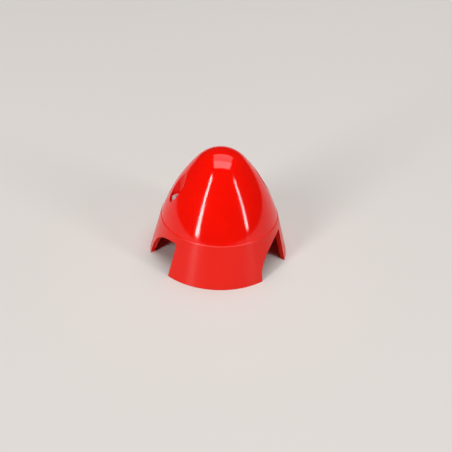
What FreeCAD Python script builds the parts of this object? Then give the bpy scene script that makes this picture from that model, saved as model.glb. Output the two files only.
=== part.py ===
"""Propeller spinner cone for a three-bladed propeller, with its two fixing screws.

The cone is one moulding: a tapered skirt cut open for the three blades, a mould parting step,
and an ogive nose with two screw wells sunk into its flank. Millimetres, +Z towards the nose.
The origin is on the spinner's axis, in the plane of the base rim.
"""
import FreeCAD, Part
import Sketcher
import math
import os
from FreeCAD import Vector

# Driving dimensions: alias, value, meaning. Lengths in mm, angles in degrees.
DIMENSIONS = [
    ("base_radius", 31.75, "outer radius of the base rim"),
    ("total_height", 52.6, "base rim to tip"),
    ("seam_height", 19.7, "base rim to the mould parting step"),
    ("skirt_taper", 14.1, "lean of the skirt towards the axis"),
    ("seam_step", 0.25, "how far the skirt stands proud of the nose"),
    ("seam_slope", 45.0, "slope of the parting step, above level"),
    ("nose_lean", 17.3, "lean of the nose towards the axis at the parting step"),
    ("nose_radius", 78.0, "radius of the nose's long arc"),
    ("wall_thickness", 2.0, "moulded wall of the nose; the skirt adds the parting step"),
    ("register_radius", 29.5, "land inside the rim that centres the backplate"),
    ("register_depth", 2.0, "depth of that land"),
    ("blade_count", 3, "propeller blades"),
    ("cutout_width", 19.6, "width of a blade cutout at the rim"),
    ("cutout_height", 16.15, "height of a blade cutout"),
    ("cutout_side", 9.5, "blade axis to the cutout's upright side"),
    ("cutout_corner", 1.2, "corner radius at the top of the upright side"),
    ("screw_count", 2, "fixing screws, each in a well of its own"),
    ("well_angle", 15.8, "direction of the first screw well, from +X"),
    ("well_axis_radius", 19.2, "spinner axis to screw axis"),
    ("well_radius", 3.85, "radius of a screw well"),
    ("well_floor", 27.8, "base rim to the seat of the screw head"),
    ("screw_hole_radius", 1.65, "clearance hole through the seat"),
    ("screw_radius", 1.5, "screw shank, over its thread"),
    ("screw_length", 12.0, "screw length under the head"),
    ("screw_lead", 1.0, "length of the tapered lead at the screw's end"),
    ("screw_end_radius", 0.9, "radius of the screw's end"),
    ("neck_radius", 1.2, "waisted neck under the head"),
    ("neck_length", 2.2, "length of that neck"),
    ("head_radius", 2.75, "screw head"),
    ("head_height", 3.0, "screw head, seat to crown"),
    ("head_chamfer", 0.3, "chamfer round the crown"),
    ("socket_size", 2.5, "hexagon socket, across its flats"),
    ("socket_depth", 1.3, "hexagon socket, from the crown down"),
]

doc = FreeCAD.newDocument("propeller_spinner")
sheet = doc.addObject("Spreadsheet::Sheet", "Dimensions")
for row, (alias, value, meaning) in enumerate(DIMENSIONS, start=1):
    sheet.set(f"A{row}", meaning)
    sheet.set(f"B{row}", str(value))
    sheet.setAlias(f"B{row}", alias)
doc.recompute()

SIZE = {alias: float(sheet.get(alias)) for alias, _, _ in DIMENSIONS}
LEAN = math.radians(SIZE["nose_lean"])
TAPER = math.radians(SIZE["skirt_taper"])

# Lengths that several sketches share, worked out from the driving dimensions.
NOSE_FOOT = ("Dimensions.base_radius - Dimensions.seam_height * tan(Dimensions.skirt_taper * 1 deg)"
             " - Dimensions.seam_step")
INNER_SKIRT_FOOT = (
    "Dimensions.base_radius - Dimensions.seam_step"
    " - Dimensions.wall_thickness / cos(Dimensions.skirt_taper * 1 deg)"
    " - Dimensions.register_depth * tan(Dimensions.skirt_taper * 1 deg)")
SKIRT_ANGLE = "90 deg + Dimensions.skirt_taper * 1 deg"

# Sketcher's numbers for the points of an element, and for a sketch's own origin and axes.
START, END, CENTRE = 1, 2, 3
ORIGIN = (-1, START)
X_AXIS, Y_AXIS = -1, -2


# --- Sketch and feature helpers -----------------------------------------------------------------

def origin_feature(body, role):
    """A body's own origin plane or axis."""
    return next(feature for feature in body.Origin.OriginFeatures if feature.Role == role)


def new_sketch(body, plane, name, lift=None):
    """A sketch on one of the body's origin planes, raised along its normal by an expression."""
    sketch = body.newObject("Sketcher::SketchObject", name)
    sketch.AttachmentSupport = [(origin_feature(body, plane), "")]
    sketch.MapMode = "FlatFace"
    if lift:
        sketch.setExpression("AttachmentOffset.Base.z", lift)
    return sketch


def add_line(sketch, x1, y1, x2, y2, construction=False):
    return sketch.addGeometry(Part.LineSegment(Vector(x1, y1, 0), Vector(x2, y2, 0)), construction)


def add_arc(sketch, x, y, radius, start, end):
    """An arc about (x, y), anticlockwise between two angles in radians."""
    circle = Part.Circle(Vector(x, y, 0), Vector(0, 0, 1), radius)
    return sketch.addGeometry(Part.ArcOfCircle(circle, start, end), False)


def add_chain(sketch, points):
    """Lines through a list of points, joined end to end and closed."""
    lines = [add_line(sketch, *a, *b) for a, b in zip(points, points[1:] + points[:1])]
    for one, following in zip(lines, lines[1:] + lines[:1]):
        relate(sketch, "Coincident", one, END, following, START)
    return lines


def relate(sketch, kind, *where):
    """Adds a constraint with no dimension."""
    return sketch.addConstraint(Sketcher.Constraint(kind, *where))


def relate_each(sketch, kind, elements):
    for element in elements:
        relate(sketch, kind, element)


def drive(sketch, name, expression, kind, *where):
    """Adds a dimension to a sketch, bound to the spreadsheet."""
    value = float(sketch.evalExpression(expression))
    if kind == "Angle":
        value = math.radians(value)
    index = sketch.addConstraint(Sketcher.Constraint(kind, *where, value))
    sketch.renameConstraint(index, name)
    sketch.setExpression(f"Constraints.{name}", expression)


def add_revolution(body, name, sketch):
    feature = body.newObject("PartDesign::Revolution", name)
    feature.Profile = sketch
    feature.ReferenceAxis = (sketch, ["V_Axis"])
    feature.Angle = 360
    return feature


def add_pocket(body, name, sketch, depth=None, reverse=False):
    """Cuts a sketch to a depth given as an expression, or right through on that side."""
    pocket = body.newObject("PartDesign::Pocket", name)
    pocket.Profile = sketch
    pocket.Reversed = reverse
    if depth:
        pocket.Type = "Length"
        pocket.setExpression("Length", depth)
    else:
        pocket.Type = "ThroughAll"
    doc.recompute()
    return pocket


def repeat_round_axis(body, name, feature, count):
    """Repeats a feature evenly about the body's Z axis."""
    pattern = body.newObject("PartDesign::PolarPattern", name)
    pattern.Originals = [feature]
    pattern.Axis = (origin_feature(body, "Z_Axis"), [""])
    pattern.Angle = 360
    pattern.setExpression("Occurrences", count)
    body.Tip = pattern
    return pattern


def require_cut(body, volume_before, what):
    """Checks that a step took material away, and returns the volume that is left."""
    doc.recompute()
    if body.Shape.Volume > volume_before - 0.5:
        raise RuntimeError(f"{what} took no material away")
    return body.Shape.Volume


# --- Spinner cone -------------------------------------------------------------------------------

def add_ogive(sketch, base, inset, start_height):
    """Adds the nose arc and the tip arc, lying an inset inside the cone's outer form.

    Both forms share the nose arc's centre, on the normal at the foot of the outer nose. The tip
    arc is centred on the axis and meets the nose arc at a tangent, so its radius follows from
    the height. Returns both arcs.
    """
    depth = float(sketch.evalExpression(inset))
    foot = float(sketch.evalExpression(NOSE_FOOT))
    centre_x = foot - SIZE["nose_radius"] * math.cos(LEAN)
    centre_z = SIZE["seam_height"] - SIZE["nose_radius"] * math.sin(LEAN)
    top = SIZE["total_height"] - depth
    radius = SIZE["nose_radius"] - depth
    rise = top - centre_z
    tip_radius = (radius**2 - centre_x**2 - rise**2) / (2 * (radius - rise))
    start = math.asin((start_height - centre_z) / radius)
    meet = math.atan2(rise - tip_radius, -centre_x)

    nose = add_arc(sketch, centre_x, centre_z, radius, start, meet)
    tip = add_arc(sketch, 0, top - tip_radius, tip_radius, meet, math.pi / 2)
    normal = add_line(sketch, centre_x, centre_z, foot, SIZE["seam_height"], construction=True)
    relate(sketch, "Coincident", normal, START, nose, CENTRE)
    relate(sketch, "Tangent", nose, END, tip, START)
    relate(sketch, "PointOnObject", tip, CENTRE, Y_AXIS)
    drive(sketch, "nose_foot", NOSE_FOOT, "DistanceX", base, START, normal, END)
    drive(sketch, "seam_height", "Dimensions.seam_height", "DistanceY", base, START, normal, END)
    drive(sketch, "nose_lean", "Dimensions.nose_lean * 1 deg", "Angle", normal)
    drive(sketch, "centre_distance", "Dimensions.nose_radius", "Distance", normal)
    drive(sketch, "nose_radius", f"Dimensions.nose_radius - {inset}", "Radius", nose)
    drive(sketch, "height", f"Dimensions.total_height - {inset}", "DistanceY",
          base, START, tip, END)
    return nose, tip


def outer_profile(body):
    """Half section of the cone's outside: base, skirt, parting step, nose and tip."""
    sketch = new_sketch(body, "XZ_Plane", "OuterProfile")
    radius, seam = SIZE["base_radius"], SIZE["seam_height"]
    skirt_top = radius - seam * math.tan(TAPER)
    base = add_line(sketch, 0, 0, radius, 0)
    skirt = add_line(sketch, radius, 0, skirt_top, seam)
    step = add_line(sketch, skirt_top, seam,
                    skirt_top - SIZE["seam_step"], seam + SIZE["seam_step"])
    axis = add_line(sketch, 0, SIZE["total_height"], 0, 0)
    relate(sketch, "Coincident", base, START, *ORIGIN)
    nose, tip = add_ogive(sketch, base, "0", seam + SIZE["seam_step"])
    relate(sketch, "Coincident", base, END, skirt, START)
    relate(sketch, "Coincident", skirt, END, step, START)
    relate(sketch, "Coincident", step, END, nose, START)
    relate(sketch, "Coincident", tip, END, axis, START)
    relate(sketch, "Coincident", axis, END, *ORIGIN)
    relate(sketch, "Horizontal", base)
    relate(sketch, "Vertical", axis)
    drive(sketch, "base_radius", "Dimensions.base_radius", "DistanceX", base, START, base, END)
    drive(sketch, "skirt_taper", SKIRT_ANGLE, "Angle", skirt)
    drive(sketch, "seam_slope", "180 deg - Dimensions.seam_slope * 1 deg", "Angle", step)
    drive(sketch, "skirt_height", "Dimensions.seam_height", "DistanceY", base, END, skirt, END)
    return sketch


def core_profile(body):
    """Half section of the cone's hollow: backplate land, inner skirt, nose and tip."""
    sketch = new_sketch(body, "XZ_Plane", "CoreProfile")
    land, depth = SIZE["register_radius"], SIZE["register_depth"]
    skirt_foot = float(sketch.evalExpression(INNER_SKIRT_FOOT))
    bend = SIZE["seam_height"] - SIZE["wall_thickness"] / 2
    skirt_top = skirt_foot - (bend - depth) * math.tan(TAPER)
    base = add_line(sketch, 0, 0, land, 0)
    side = add_line(sketch, land, 0, land, depth)
    ledge = add_line(sketch, land, depth, skirt_foot, depth)
    skirt = add_line(sketch, skirt_foot, depth, skirt_top, bend)
    axis = add_line(sketch, 0, SIZE["total_height"] - SIZE["wall_thickness"], 0, 0)
    relate(sketch, "Coincident", base, START, *ORIGIN)
    nose, tip = add_ogive(sketch, base, "Dimensions.wall_thickness", bend)
    relate(sketch, "Coincident", base, END, side, START)
    relate(sketch, "Coincident", side, END, ledge, START)
    relate(sketch, "Coincident", ledge, END, skirt, START)
    relate(sketch, "Coincident", skirt, END, nose, START)
    relate(sketch, "Coincident", tip, END, axis, START)
    relate(sketch, "Coincident", axis, END, *ORIGIN)
    relate_each(sketch, "Horizontal", (base, ledge))
    relate_each(sketch, "Vertical", (side, axis))
    drive(sketch, "land_radius", "Dimensions.register_radius", "DistanceX", base, START, base, END)
    drive(sketch, "land_depth", "Dimensions.register_depth", "DistanceY", side, START, side, END)
    drive(sketch, "skirt_foot", INNER_SKIRT_FOOT, "DistanceX", base, START, skirt, START)
    drive(sketch, "skirt_taper", SKIRT_ANGLE, "Angle", skirt)
    return sketch


def screw_circle(body, name, radius, height):
    """A circle on the first screw's axis. Its radius and its height are expressions."""
    sketch = new_sketch(body, "XY_Plane", name, height)
    angle = math.radians(SIZE["well_angle"])
    x = SIZE["well_axis_radius"] * math.cos(angle)
    y = SIZE["well_axis_radius"] * math.sin(angle)
    arm = add_line(sketch, 0, 0, x, y, construction=True)
    start_circle = Part.Circle(Vector(x, y, 0), Vector(0, 0, 1), SIZE["well_radius"])
    circle = sketch.addGeometry(start_circle, False)
    relate(sketch, "Coincident", arm, START, *ORIGIN)
    relate(sketch, "Coincident", arm, END, circle, CENTRE)
    drive(sketch, "axis_radius", "Dimensions.well_axis_radius", "Distance", arm)
    drive(sketch, "direction", "Dimensions.well_angle * 1 deg", "Angle", arm)
    drive(sketch, "radius", radius, "Radius", circle)
    return sketch


def cutout_profile(body):
    """Outline of a blade cutout, square to the blade's axis.

    One side is upright, for the blade's flat face. From the top of it a quarter ellipse runs
    down to the rim, for the blade's cambered back. The outline passes below the rim.
    """
    sketch = new_sketch(body, "XZ_Plane", "CutoutProfile")
    corner, height = SIZE["cutout_corner"], SIZE["cutout_height"]
    side_x = -SIZE["cutout_side"]
    centre_x = side_x + corner
    heel_x = side_x + SIZE["cutout_width"]
    below = -2.0
    side = add_line(sketch, side_x, below, side_x, height - corner)
    rounding = add_arc(sketch, centre_x, height - corner, corner, math.pi / 2, math.pi)
    ellipse = Part.Ellipse(Vector(heel_x, 0, 0), Vector(centre_x, height, 0),
                           Vector(centre_x, 0, 0))
    back = sketch.addGeometry(Part.ArcOfEllipse(ellipse, 0, math.pi / 2), False)
    heel = add_line(sketch, heel_x, 0, heel_x, below)
    bottom = add_line(sketch, heel_x, below, side_x, below)
    long_axis = bottom + 1
    sketch.exposeInternalGeometry(back)
    relate(sketch, "Tangent", side, END, rounding, END)
    relate(sketch, "Coincident", rounding, START, back, END)
    relate(sketch, "Coincident", back, START, heel, START)
    relate(sketch, "Coincident", heel, END, bottom, START)
    relate(sketch, "Coincident", bottom, END, side, START)
    relate_each(sketch, "Horizontal", (bottom, long_axis))
    relate_each(sketch, "Vertical", (side, heel))
    relate(sketch, "PointOnObject", back, CENTRE, X_AXIS)
    relate(sketch, "PointOnObject", back, START, X_AXIS)
    relate(sketch, "Vertical", back, CENTRE, back, END)
    relate(sketch, "Vertical", back, CENTRE, rounding, CENTRE)
    relate(sketch, "DistanceY", side, START, *ORIGIN, -below)
    drive(sketch, "corner", "Dimensions.cutout_corner", "Radius", rounding)
    drive(sketch, "side", "Dimensions.cutout_side", "DistanceX", side, START, *ORIGIN)
    drive(sketch, "width", "Dimensions.cutout_width", "DistanceX", side, START, back, START)
    drive(sketch, "height", "Dimensions.cutout_height", "DistanceY", back, CENTRE, back, END)
    return sketch


def make_core():
    """The solid that fills the cone's hollow, like the inner half of its mould."""
    core = doc.addObject("PartDesign::Body", "mould_core")
    add_revolution(core, "CoreForm", core_profile(core))
    doc.recompute()
    volume = core.Shape.Volume
    outline = screw_circle(core, "WellWall", "Dimensions.well_radius + Dimensions.wall_thickness",
                           "Dimensions.well_floor - Dimensions.wall_thickness")
    bore = add_pocket(core, "WellRoom", outline, reverse=True)
    repeat_round_axis(core, "WellRooms", bore, "Dimensions.screw_count")
    require_cut(core, volume, "the room for the wells")
    return core


def make_cone():
    """The moulded cone: outer form, screw wells, hollow, screw holes and blade cutouts."""
    cone = doc.addObject("PartDesign::Body", "spinner_cone")
    add_revolution(cone, "OuterForm", outer_profile(cone))
    doc.recompute()
    volume = cone.Shape.Volume

    well = add_pocket(cone, "ScrewWell", screw_circle(
        cone, "WellOutline", "Dimensions.well_radius", "Dimensions.well_floor"), reverse=True)
    repeat_round_axis(cone, "ScrewWells", well, "Dimensions.screw_count")
    volume = require_cut(cone, volume, "the screw wells")

    hollow = cone.newObject("PartDesign::Boolean", "Hollow")
    hollow.Type = "Cut"
    hollow.addObject(make_core())
    cone.Tip = hollow
    volume = require_cut(cone, volume, "the hollow")

    hole = add_pocket(cone, "ScrewHole", screw_circle(
        cone, "HoleOutline", "Dimensions.screw_hole_radius", "Dimensions.well_floor"),
        depth="Dimensions.wall_thickness * 2")
    repeat_round_axis(cone, "ScrewHoles", hole, "Dimensions.screw_count")
    volume = require_cut(cone, volume, "the screw holes")

    cutout = add_pocket(cone, "BladeCutout", cutout_profile(cone))
    repeat_round_axis(cone, "BladeCutouts", cutout, "Dimensions.blade_count")
    require_cut(cone, volume, "the blade cutouts")
    return cone


# --- Fixing screws ------------------------------------------------------------------------------

def screw_profile(body):
    """Half section of a socket head screw, with the underside of its head at zero height."""
    sketch = new_sketch(body, "XZ_Plane", "ScrewProfile")
    head, crown, bevel = SIZE["head_radius"], SIZE["head_height"], SIZE["head_chamfer"]
    shank, neck, end = SIZE["screw_radius"], SIZE["neck_radius"], SIZE["screw_end_radius"]
    shoulder_z, tip = -SIZE["neck_length"], -SIZE["screw_length"]
    axis, foot, lead, side, shoulder, waist, seat, rim, chamfer, top = add_chain(sketch, [
        (0, crown), (0, tip), (end, tip), (shank, tip + SIZE["screw_lead"]),
        (shank, shoulder_z), (neck, shoulder_z), (neck, 0),
        (head, 0), (head, crown - bevel), (head - bevel, crown)])
    relate(sketch, "PointOnObject", axis, END, Y_AXIS)
    relate(sketch, "PointOnObject", seat, END, X_AXIS)
    relate_each(sketch, "Vertical", (axis, side, waist, rim))
    relate_each(sketch, "Horizontal", (foot, shoulder, seat, top))
    drive(sketch, "head_radius", "Dimensions.head_radius", "DistanceX", *ORIGIN, seat, END)
    drive(sketch, "head_height", "Dimensions.head_height", "DistanceY", *ORIGIN, axis, START)
    drive(sketch, "chamfer_drop", "Dimensions.head_chamfer", "DistanceY",
          chamfer, START, chamfer, END)
    drive(sketch, "chamfer_width", "Dimensions.head_chamfer", "DistanceX",
          chamfer, END, chamfer, START)
    drive(sketch, "neck_radius", "Dimensions.neck_radius", "DistanceX", *ORIGIN, seat, START)
    drive(sketch, "neck_length", "Dimensions.neck_length", "DistanceY", waist, START, waist, END)
    drive(sketch, "shank_radius", "Dimensions.screw_radius", "DistanceX", *ORIGIN, side, END)
    drive(sketch, "length", "Dimensions.screw_length", "DistanceY", axis, END, *ORIGIN)
    drive(sketch, "lead", "Dimensions.screw_lead", "DistanceY", lead, START, lead, END)
    drive(sketch, "end_radius", "Dimensions.screw_end_radius", "DistanceX", foot, START, foot, END)
    return sketch


def socket_profile(body):
    """The hexagon socket, in a plane through the crown of the head."""
    sketch = new_sketch(body, "XY_Plane", "SocketOutline", "Dimensions.head_height")
    reach = SIZE["socket_size"] / 2 / math.cos(math.pi / 6)
    turns = [math.pi / 3 * corner for corner in range(6)]
    first, *others = add_chain(
        sketch, [(reach * math.cos(turn), reach * math.sin(turn)) for turn in turns])
    ring = sketch.addGeometry(Part.Circle(Vector(0, 0, 0), Vector(0, 0, 1), reach), True)
    relate(sketch, "Coincident", ring, CENTRE, *ORIGIN)
    for side in (first, *others):
        relate(sketch, "PointOnObject", side, START, ring)
    for side in others:
        relate(sketch, "Equal", first, side)
    relate(sketch, "PointOnObject", first, START, X_AXIS)
    drive(sketch, "corner_reach", "Dimensions.socket_size / (2 * cos(30 deg))", "Radius", ring)
    return sketch


def make_screw(number):
    """A socket head screw, seated in its well."""
    screw = doc.addObject("PartDesign::Body", f"fixing_screw_{number + 1}")
    add_revolution(screw, "ScrewForm", screw_profile(screw))
    doc.recompute()
    volume = screw.Shape.Volume
    add_pocket(screw, "Socket", socket_profile(screw), depth="Dimensions.socket_depth")
    require_cut(screw, volume, "the hexagon socket")
    direction = f"Dimensions.well_angle * 1 deg + {number} * 360 deg / Dimensions.screw_count"
    screw.setExpression("Placement.Base.x", f"Dimensions.well_axis_radius * cos({direction})")
    screw.setExpression("Placement.Base.y", f"Dimensions.well_axis_radius * sin({direction})")
    screw.setExpression("Placement.Base.z", "Dimensions.well_floor")
    return screw


def make_screws():
    screws = doc.addObject("Part::Compound", "fixing_screws")
    screws.Links = [make_screw(number) for number in range(int(SIZE["screw_count"]))]
    return screws


# --- Document checks and export -----------------------------------------------------------------

def check_document(parts):
    """Stops if any object failed to build, or a sub-part isn't the sound solids it should be."""
    for item in doc.Objects:
        if {"Invalid", "Error"} & set(item.State):
            raise RuntimeError(f"{item.Label} failed: {item.getStatusString()}")
    for part, solids in parts:
        shape = part.Shape
        if shape.isNull() or not shape.isValid() or len(shape.Solids) != solids:
            raise RuntimeError(f"{part.Label} isn't {solids} sound solid(s)")
        box = shape.BoundBox
        print(f"{part.Label}: {shape.Volume:.1f} mm3, {len(shape.Faces)} faces,"
              f" X {box.XMin:.2f} to {box.XMax:.2f}, Y {box.YMin:.2f} to {box.YMax:.2f},"
              f" Z {box.ZMin:.2f} to {box.ZMax:.2f}")


cone = make_cone()
screws = make_screws()
doc.recompute()
check_document([(cone, 1), (screws, int(SIZE["screw_count"]))])

os.makedirs("parts", exist_ok=True)
for part in (cone, screws):
    part.Shape.exportStep(f"parts/{part.Label}.step")
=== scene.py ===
"""Looks of a moulded propeller spinner cone and its two fixing screws.

The cone keeps the shape it has in the frame and gets its finishes. The two screws are built anew
with their threads and the knurling on their heads. All lengths are in metres.
"""

import math

import bpy
from mathutils import Matrix, Vector


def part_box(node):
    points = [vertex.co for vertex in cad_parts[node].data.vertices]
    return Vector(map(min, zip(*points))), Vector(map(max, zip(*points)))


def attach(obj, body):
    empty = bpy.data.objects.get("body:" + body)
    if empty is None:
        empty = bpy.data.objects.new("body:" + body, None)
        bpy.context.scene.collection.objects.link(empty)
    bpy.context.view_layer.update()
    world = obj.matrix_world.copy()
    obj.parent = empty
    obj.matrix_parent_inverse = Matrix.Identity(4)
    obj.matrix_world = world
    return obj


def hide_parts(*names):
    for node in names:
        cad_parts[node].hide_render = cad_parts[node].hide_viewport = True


MM = 0.001

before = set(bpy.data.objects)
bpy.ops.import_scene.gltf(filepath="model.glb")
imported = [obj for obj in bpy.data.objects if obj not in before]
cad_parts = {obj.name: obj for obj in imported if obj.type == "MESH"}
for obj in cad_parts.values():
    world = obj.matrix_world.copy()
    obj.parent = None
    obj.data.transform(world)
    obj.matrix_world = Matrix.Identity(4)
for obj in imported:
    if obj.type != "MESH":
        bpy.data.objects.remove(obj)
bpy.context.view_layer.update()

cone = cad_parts["spinner_cone"]
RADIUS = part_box("spinner_cone")[1].x
screws_low, screws_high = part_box("fixing_screws")

# Cone: where the gloss of the nose ends and the satin skirt begins.
SEAM_HEIGHT = 19.7 * MM
SEAM_STEP = 0.25 * MM
SEAM_BLEND = 0.03 * MM

# Screws, M3 with a socket head. Heights are measured from the seat under the head.
HEAD_RADIUS = 2.75 * MM
HEAD_HEIGHT = 3.0 * MM
HEAD_CHAMFER = 0.3 * MM
KNURL_DEPTH = 0.05 * MM
KNURL_TEETH = 36
SOCKET_FLATS = 2.5 * MM
SOCKET_DEPTH = 1.3 * MM
NECK_RADIUS = 1.2 * MM
NECK_LENGTH = 2.2 * MM
THREAD_RADIUS = 1.5 * MM
THREAD_DEPTH = 0.28 * MM
THREAD_PITCH = 0.5 * MM
LEAD_LENGTH = 1.0 * MM
END_RADIUS = 0.9 * MM
CREST_FLAT = 0.12
FLANK = 0.7
SIDES = 4 * KNURL_TEETH
RINGS_PER_TURN = 8
SMOOTH_ANGLE = math.radians(32)
KNURL_FOOT = 0.25 * MM

# Where the screws are: their node's box reaches a head's radius past each axis.
SCREW_X = screws_high.x - HEAD_RADIUS
SCREW_Y = screws_high.y - HEAD_RADIUS
SEAT = screws_high.z - HEAD_HEIGHT
SCREW_LENGTH = SEAT - screws_low.z

# Plastic. Scales are spots of noise in a metre. Each pair of roughnesses is a range.
NOSE_REDS = ((0.800, 0.0034, 0.0002, 1), (0.840, 0.0046, 0.0004, 1))
CLOUD_RED = (0.75, 0.0040, 0.0003, 1)
SKIRT_RED = (0.745, 0.0085, 0.0003, 1)
# The inside's red is brighter than the outside's. This is painted light, standing for light that
# reaches the cone's inside.
INSIDE_PAINTED_LIGHT_RED = (0.90, 0.0080, 0.0020, 1)
FLOW_SCALE, CLOUD_SCALE, SATIN_SCALE, MATT_SCALE = 55, 260, 420, 700
PEEL_SCALE, GRAIN_SCALE = 380, 2600
POLISHED, SATIN, MATT = (0.07, 0.105), (0.20, 0.27), (0.38, 0.52)
STEP_ROUGHNESS = 0.5
SCUFF_ROUGHNESS = 0.02
SKIRT_ANISOTROPY = 0.7
QUARTER_TURN = 0.25
PLASTIC_IOR = 1.45
BEVEL_SAMPLES = 6
NOISE_RANGE = (0.3, 0.7)

# Steel and floor.
STEELS = ((0.72, 0.71, 0.69, 1), (0.80, 0.80, 0.81, 1))
TARNISHED_STEEL = (0.50, 0.48, 0.45, 1)
PATCH_SCALE, TARNISH_SCALE = 900, 2400
BRUSHED = (0.34, 0.46)
FLOOR_COLOURS = ((0.638, 0.604, 0.577, 1), (0.662, 0.628, 0.600, 1))
FLOOR_ROUGHNESS = (0.72, 0.86)

# Camera: where the photographer stood, and how the frame was aimed.
AZIMUTH = math.radians(1.67)
ELEVATION = math.radians(35.93)
ROLL = math.radians(1.94)
DISTANCE = 13 * RADIUS
LENS = 69.96
SENSOR = 36
AIM_RIGHT = 0.1032 * RADIUS
AIM_UP = 0.3271 * RADIUS

# Lamps. A radiance is the brightness that a lamp's face shows in a mirror.
LAMP_DISTANCE = 2.0
FRONT_PANEL = {"x": 0.09, "y": -0.14, "width": 1.00, "depth": 0.48, "radiance": 4.3}
BACK_PANEL = {"x": 0.09, "y": 0.42, "width": 1.00, "depth": 0.64, "radiance": 1.9}
LEFT_STRIP = {"azimuth": -39, "low": 2.5, "high": 45, "width": 0.125, "radiance": 22}
RIGHT_STRIP = {"azimuth": 58, "low": 5, "high": 39, "width": 0.080, "radiance": 19}
SURROUNDINGS = (0.04, 0.04, 0.04, 1)
FLOOR_SIZE = 8


# --- Camera and lamps ---------------------------------------------------------------------------

def camera_basis():
    """Right, up and back vectors of a level camera at the azimuth and elevation."""
    ca, sa = math.cos(AZIMUTH), math.sin(AZIMUTH)
    ce, se = math.cos(ELEVATION), math.sin(ELEVATION)
    right = Vector((ca, sa, 0))
    back = Vector((sa * ce, -ca * ce, se))
    return right, back.cross(right), back


def add_camera():
    right, up, back = camera_basis()
    data = bpy.data.cameras.new("camera")
    data.lens = LENS
    data.sensor_width = SENSOR
    camera = bpy.data.objects.new("camera", data)
    bpy.context.scene.collection.objects.link(camera)
    place = back * DISTANCE
    aim = right * AIM_RIGHT + up * AIM_UP
    to_camera = (place - aim).normalized()
    side = up.cross(to_camera).normalized()
    rise = to_camera.cross(side)
    turn = Matrix((side, rise, to_camera)).transposed().to_4x4()
    camera.matrix_world = Matrix.Translation(place) @ turn @ Matrix.Rotation(ROLL, 4, "Z")
    bpy.context.scene.camera = camera


def area_light(name, center, target, size_x, size_y, radiance):
    data = bpy.data.lights.new(name, "AREA")
    data.shape = "RECTANGLE"
    data.size, data.size_y = size_x, size_y
    data.energy = radiance * size_x * size_y * math.pi
    lamp = bpy.data.objects.new(name, data)
    lamp.location = center
    back = (Vector(center) - Vector(target)).normalized()
    lamp.rotation_euler = back.to_track_quat("Z", "Y").to_euler()
    bpy.context.scene.collection.objects.link(lamp)


def ceiling_panel(name, x, y, width, depth, radiance):
    """A level soft panel above the object. Its lengths are for a height of one metre."""
    x, y, width, depth = (LAMP_DISTANCE * length for length in (x, y, width, depth))
    area_light(name, (x, y, LAMP_DISTANCE), (x, y, 0), width, depth, radiance)


def strip_light(name, azimuth, low, high, width, radiance):
    """An upright strip. Its ends' elevations are seen from the object, its width at one metre."""
    azimuth, low, high = map(math.radians, (azimuth, low, high))
    x, y = math.sin(azimuth) * LAMP_DISTANCE, -math.cos(azimuth) * LAMP_DISTANCE
    bottom, top = LAMP_DISTANCE * math.tan(low), LAMP_DISTANCE * math.tan(high)
    middle, width = (bottom + top) / 2, LAMP_DISTANCE * width
    area_light(name, (x, y, middle), (0, 0, middle), width, top - bottom, radiance)


def light_scene():
    ceiling_panel("front_panel", **FRONT_PANEL)
    ceiling_panel("back_panel", **BACK_PANEL)
    strip_light("left_strip", **LEFT_STRIP)
    strip_light("right_strip", **RIGHT_STRIP)
    world = bpy.data.worlds.new("world")
    world.use_nodes = True
    world.node_tree.nodes["Background"].inputs["Color"].default_value = SURROUNDINGS
    bpy.context.scene.world = world


# --- Node helpers -------------------------------------------------------------------------------

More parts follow.
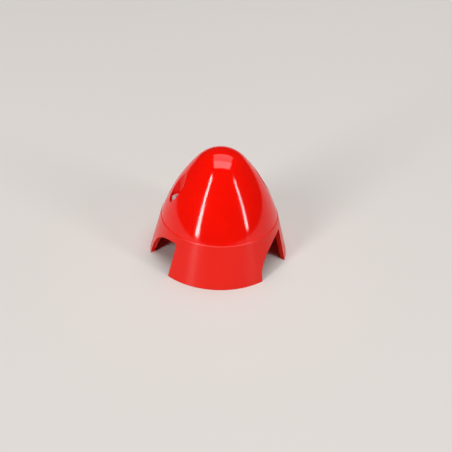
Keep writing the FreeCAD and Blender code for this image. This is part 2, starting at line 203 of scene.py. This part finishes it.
class Nodes:
    """Builds one material's node tree. A method takes sockets or plain numbers."""

    def __init__(self, name):
        self.material = bpy.data.materials.new(name)
        self.material.use_nodes = True
        self.tree = self.material.node_tree
        self.shader = self.tree.nodes["Principled BSDF"]
        self.place = self.add("ShaderNodeTexCoord").outputs["Object"]

    def add(self, kind, **settings):
        node = self.tree.nodes.new(kind)
        for key, value in settings.items():
            setattr(node, key, value)
        return node

    def feed(self, socket, value):
        if isinstance(value, bpy.types.NodeSocket):
            self.tree.links.new(value, socket)
        else:
            socket.default_value = value

    def calc(self, operation, *values):
        node = self.add("ShaderNodeMath", operation=operation)
        for socket, value in zip(node.inputs, values):
            self.feed(socket, value)
        return node.outputs[0]

    def noise(self, scale, detail, place=None):
        """Noise of about `scale` spots a metre, or of 1 in a place already scaled."""
        node = self.add("ShaderNodeTexNoise")
        self.feed(node.inputs["Vector"], place or self.place)
        node.inputs["Scale"].default_value = scale
        node.inputs["Detail"].default_value = detail
        return node.outputs["Fac"]

    def stretched(self, x, y, z, across, along):
        """The place, scaled by one number across the spin axis and another along it."""
        return self.join(self.calc("MULTIPLY", x, across), self.calc("MULTIPLY", y, across),
                         self.calc("MULTIPLY", z, along))

    def spread(self, value, low, high, to_low, to_high):
        """Maps a range of values to another, held at its ends."""
        node = self.add("ShaderNodeMapRange")
        for name, number in zip(("Value", "From Min", "From Max", "To Min", "To Max"),
                                (value, low, high, to_low, to_high)):
            self.feed(node.inputs[name], number)
        return node.outputs["Result"]

    def blend(self, factor, one, other):
        """Mixes two numbers, or two colours when given as four numbers."""
        colour = isinstance(one, tuple) or getattr(one, "type", "") == "RGBA"
        node = self.add("ShaderNodeMix", data_type="RGBA" if colour else "FLOAT")
        kinds = [socket for socket in node.inputs if socket.enabled]
        self.feed(kinds[0], factor)
        self.feed(kinds[1], one)
        self.feed(kinds[2], other)
        return next(socket for socket in node.outputs if socket.enabled)

    def split(self, vector):
        """The vector's three parts."""
        node = self.add("ShaderNodeSeparateXYZ")
        self.feed(node.inputs[0], vector)
        return node.outputs

    def join(self, x, y, z):
        node = self.add("ShaderNodeCombineXYZ")
        for socket, value in zip(node.inputs, (x, y, z)):
            self.feed(socket, value)
        return node.outputs[0]

    def bump(self, height, distance, strength, normal=None):
        node = self.add("ShaderNodeBump")
        self.feed(node.inputs["Height"], height)
        node.inputs["Distance"].default_value = distance
        self.feed(node.inputs["Strength"], strength)
        if normal:
            self.feed(node.inputs["Normal"], normal)
        return node.outputs["Normal"]

    def soft_edges(self, radius):
        """A normal that rounds the mesh's sharp edges."""
        node = self.add("ShaderNodeBevel", samples=BEVEL_SAMPLES)
        node.inputs["Radius"].default_value = radius
        return node.outputs["Normal"]

    def finish(self, **inputs):
        """Sets the shader's inputs, named with _ for each space, and gives the material."""
        for name, value in inputs.items():
            self.feed(self.shader.inputs[name.replace("_", " ")], value)
        return self.material


def give(piece, material):
    piece.data.materials.clear()
    piece.data.materials.append(material)


# --- Materials ----------------------------------------------------------------------------------

def plastic_regions(n, x, y, z):
    """Three masks: the inside faces, the skirt with its step, and the step alone."""
    normal_x, normal_y, _ = n.split(n.add("ShaderNodeNewGeometry").outputs["True Normal"])
    outward = n.calc("ADD", n.calc("MULTIPLY", x, normal_x), n.calc("MULTIPLY", y, normal_y))
    inside = n.spread(outward, -0.5 * MM, -0.1 * MM, 1, 0)
    step_top = SEAM_HEIGHT + SEAM_STEP
    skirt = n.spread(z, step_top - SEAM_BLEND, step_top + SEAM_BLEND, 1, 0)
    above_skirt = n.spread(z, SEAM_HEIGHT - SEAM_BLEND, SEAM_HEIGHT + SEAM_BLEND, 0, 1)
    return inside, skirt, n.calc("MULTIPLY", skirt, above_skirt)


def plastic_colour(n, inside, skirt, cloud):
    flow = n.noise(FLOW_SCALE, detail=2)
    red = n.blend(n.spread(flow, 0.35, 0.65, 0, 1), *NOSE_REDS)
    red = n.blend(n.spread(cloud, 0.4, 0.75, 0, 0.35), red, CLOUD_RED)
    red = n.blend(n.calc("MULTIPLY", skirt, 0.7), red, SKIRT_RED)
    # The inside faces get the brighter red, which is painted light on the inside of the cone.
    return n.blend(inside, red, INSIDE_PAINTED_LIGHT_RED)


def plastic_roughness(n, x, y, z, inside, skirt, step, cloud):
    """Each region's own gloss, with faint scuffs that run round the cone."""
    polished = n.spread(cloud, *NOISE_RANGE, *POLISHED)
    satin = n.spread(n.noise(SATIN_SCALE, detail=5), *NOISE_RANGE, *SATIN)
    matt = n.spread(n.noise(MATT_SCALE, detail=5), *NOISE_RANGE, *MATT)
    rough = n.blend(skirt, polished, satin)
    rough = n.blend(step, rough, STEP_ROUGHNESS)
    rough = n.blend(inside, rough, matt)
    streaks = n.noise(1, detail=3, place=n.stretched(x, y, z, 300, 2600))
    return n.calc("ADD", rough, n.spread(streaks, 0.62, 0.75, 0, SCUFF_ROUGHNESS))


def plastic_normal(n, x, y, z, inside, skirt):
    """Orange peel all over, a finer grain off the mould, and its turning marks on the skirt."""
    peel = n.bump(n.noise(PEEL_SCALE, detail=2), 0.02 * MM, 0.10, n.soft_edges(0.06 * MM))
    grain_depth = n.blend(inside, n.calc("MULTIPLY", skirt, 0.22), 0.6)
    grain = n.bump(n.noise(GRAIN_SCALE, detail=3), 0.02 * MM, grain_depth, peel)
    turned = n.noise(1, detail=2, place=n.stretched(x, y, z, 40, 3500))
    return n.bump(turned, 0.01 * MM, n.calc("MULTIPLY", skirt, 0.12), grain)


def red_plastic():
    """Red moulded plastic: polished nose, satin skirt, and a matt inside straight off the core."""
    n = Nodes("red_plastic")
    x, y, z = n.split(n.place)
    inside, skirt, step = plastic_regions(n, x, y, z)
    cloud = n.noise(CLOUD_SCALE, detail=4)
    specular = n.blend(step, n.blend(skirt, 0.5, 0.42), 0.9)
    round_axis = n.add("ShaderNodeTangent", direction_type="RADIAL", axis="Z").outputs[0]
    return n.finish(
        Base_Color=plastic_colour(n, inside, skirt, cloud),
        Roughness=plastic_roughness(n, x, y, z, inside, skirt, step, cloud),
        Normal=plastic_normal(n, x, y, z, inside, skirt),
        IOR=PLASTIC_IOR, Specular_IOR_Level=specular,
        Subsurface_Weight=0.3, Subsurface_Scale=3 * MM, Subsurface_Radius=(1.0, 0.06, 0.03),
        Tangent=round_axis, Anisotropic=n.calc("MULTIPLY", skirt, SKIRT_ANISOTROPY),
        Anisotropic_Rotation=QUARTER_TURN)


def bright_steel(axis_x, axis_y):
    """Zinc-plated steel with fine turned rings round the two axes, one each side of the middle."""
    n = Nodes("bright_steel")
    x, y, z = n.split(n.place)
    half = n.calc("SIGN", x)
    from_axis_x = n.calc("SUBTRACT", x, n.calc("MULTIPLY", half, axis_x))
    from_axis_y = n.calc("SUBTRACT", y, n.calc("MULTIPLY", half, axis_y))
    squares = n.calc("ADD", n.calc("MULTIPLY", from_axis_x, from_axis_x),
                     n.calc("MULTIPLY", from_axis_y, from_axis_y))
    distance = n.calc("SQRT", squares)
    rings = n.noise(1, detail=4, place=n.join(
        n.calc("MULTIPLY", distance, 9000), n.calc("MULTIPLY", z, 5000), half))

    patches = n.noise(PATCH_SCALE, detail=4)
    steel = n.blend(n.spread(patches, 0.35, 0.65, 0, 1), *STEELS)
    tarnish = n.spread(n.noise(TARNISH_SCALE, detail=5), 0.58, 0.72, 0, 0.4)
    steel = n.blend(tarnish, steel, TARNISHED_STEEL)
    rough = n.spread(rings, *NOISE_RANGE, *BRUSHED)
    rough = n.calc("ADD", rough, n.calc("MULTIPLY", tarnish, 0.2))
    turned = n.bump(rings, 0.006 * MM, 0.5, n.soft_edges(0.05 * MM))
    return n.finish(Base_Color=steel, Metallic=0.8, Roughness=rough, Normal=turned)


def pale_floor():
    """A seamless pale sheet, faintly uneven."""
    n = Nodes("pale_floor")
    cloud = n.noise(1.6, detail=3)
    grain = n.noise(900, detail=2)
    pale = n.blend(n.spread(cloud, *NOISE_RANGE, 0, 1), *FLOOR_COLOURS)
    rough = n.spread(grain, *NOISE_RANGE, *FLOOR_ROUGHNESS)
    return n.finish(Base_Color=pale, Roughness=rough, Normal=n.bump(grain, 0.05 * MM, 0.15),
                    Specular_IOR_Level=0.12)


# --- Screws -------------------------------------------------------------------------------------

def plain_ring(radius):
    return lambda turn, z: radius


def hexagon_ring(turn, z):
    """Radius of a hexagon with a corner on the X axis."""
    sixth = math.pi / 3
    return SOCKET_FLATS / 2 / math.cos(turn % sixth - sixth / 2)


def knurled_ring(turn, z):
    """Radius of the head's side, whose teeth are cut inwards only."""
    return HEAD_RADIUS - KNURL_DEPTH * (1 - math.cos(KNURL_TEETH * turn)) / 2


def thread_ring(turn, z):
    """Radius of a right-hand thread, held inside the tapered lead at the tip."""
    phase = (z / THREAD_PITCH - turn / (2 * math.pi)) % 1
    flank = min(1, max(0, (abs(2 * phase - 1) - CREST_FLAT) / FLANK))
    lead_top = LEAD_LENGTH - SCREW_LENGTH
    taper = max(0, lead_top - z) / LEAD_LENGTH
    limit = THREAD_RADIUS - (THREAD_RADIUS - END_RADIUS) * taper
    return min(THREAD_RADIUS - THREAD_DEPTH * flank, limit)


def screw_rings():
    """Heights and radii of the rings from the socket's floor, over the head, to the tip."""
    crown = HEAD_HEIGHT
    rings = [
        (crown - SOCKET_DEPTH, hexagon_ring),
        (crown, hexagon_ring),
        (crown, plain_ring(HEAD_RADIUS - HEAD_CHAMFER)),
        (crown - HEAD_CHAMFER, plain_ring(HEAD_RADIUS)),
        (crown - HEAD_CHAMFER - KNURL_DEPTH, knurled_ring),
        (KNURL_FOOT, knurled_ring),
        (KNURL_FOOT - KNURL_DEPTH, plain_ring(HEAD_RADIUS - KNURL_DEPTH)),
        (0, plain_ring(HEAD_RADIUS - KNURL_DEPTH)),
        (0, plain_ring(NECK_RADIUS)),
        (-NECK_LENGTH, plain_ring(NECK_RADIUS)),
    ]
    threaded = SCREW_LENGTH - NECK_LENGTH
    steps = round(threaded / THREAD_PITCH * RINGS_PER_TURN)
    rings += [(-NECK_LENGTH - threaded * step / steps, thread_ring) for step in range(steps + 1)]
    return rings


def add_screw_mesh(points, faces, axis_x, axis_y, seat):
    """Adds one screw's points and faces, with its seat at a height."""
    first = len(points)
    rings = screw_rings()
    for z, radius in rings:
        for side in range(SIDES):
            turn = 2 * math.pi * side / SIDES
            reach = radius(turn, z)
            points.append((axis_x + reach * math.cos(turn), axis_y + reach * math.sin(turn),
                           seat + z))
    for ring in range(len(rings) - 1):
        upper, lower = first + ring * SIDES, first + (ring + 1) * SIDES
        for side in range(SIDES):
            beside = (side + 1) % SIDES
            faces.append((upper + side, lower + side, lower + beside, upper + beside))
    faces.append(tuple(range(first, first + SIDES)))
    faces.append(tuple(reversed(range(len(points) - SIDES, len(points)))))


def make_screws():
    """Both screws as one piece, opposite each other across the spin axis."""
    points, faces = [], []
    for way in (1, -1):
        add_screw_mesh(points, faces, way * SCREW_X, way * SCREW_Y, SEAT)
    mesh = bpy.data.meshes.new("threaded_screws")
    mesh.from_pydata(points, [], faces)
    mesh.validate()
    mesh.update()
    piece = bpy.data.objects.new("threaded_screws", mesh)
    bpy.context.scene.collection.objects.link(piece)
    mesh.shade_smooth()
    mesh.set_sharp_from_angle(angle=SMOOTH_ANGLE)
    return piece


add_camera()
light_scene()
give(cone, red_plastic())

screws = make_screws()
give(screws, bright_steel(SCREW_X, SCREW_Y))
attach(screws, "root")
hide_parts("fixing_screws")

bpy.ops.mesh.primitive_plane_add(size=FLOOR_SIZE, location=(0, 0, 0))
floor = bpy.context.object
floor.name = "floor"
give(floor, pale_floor())

bpy.context.scene.view_settings.view_transform = "Standard"
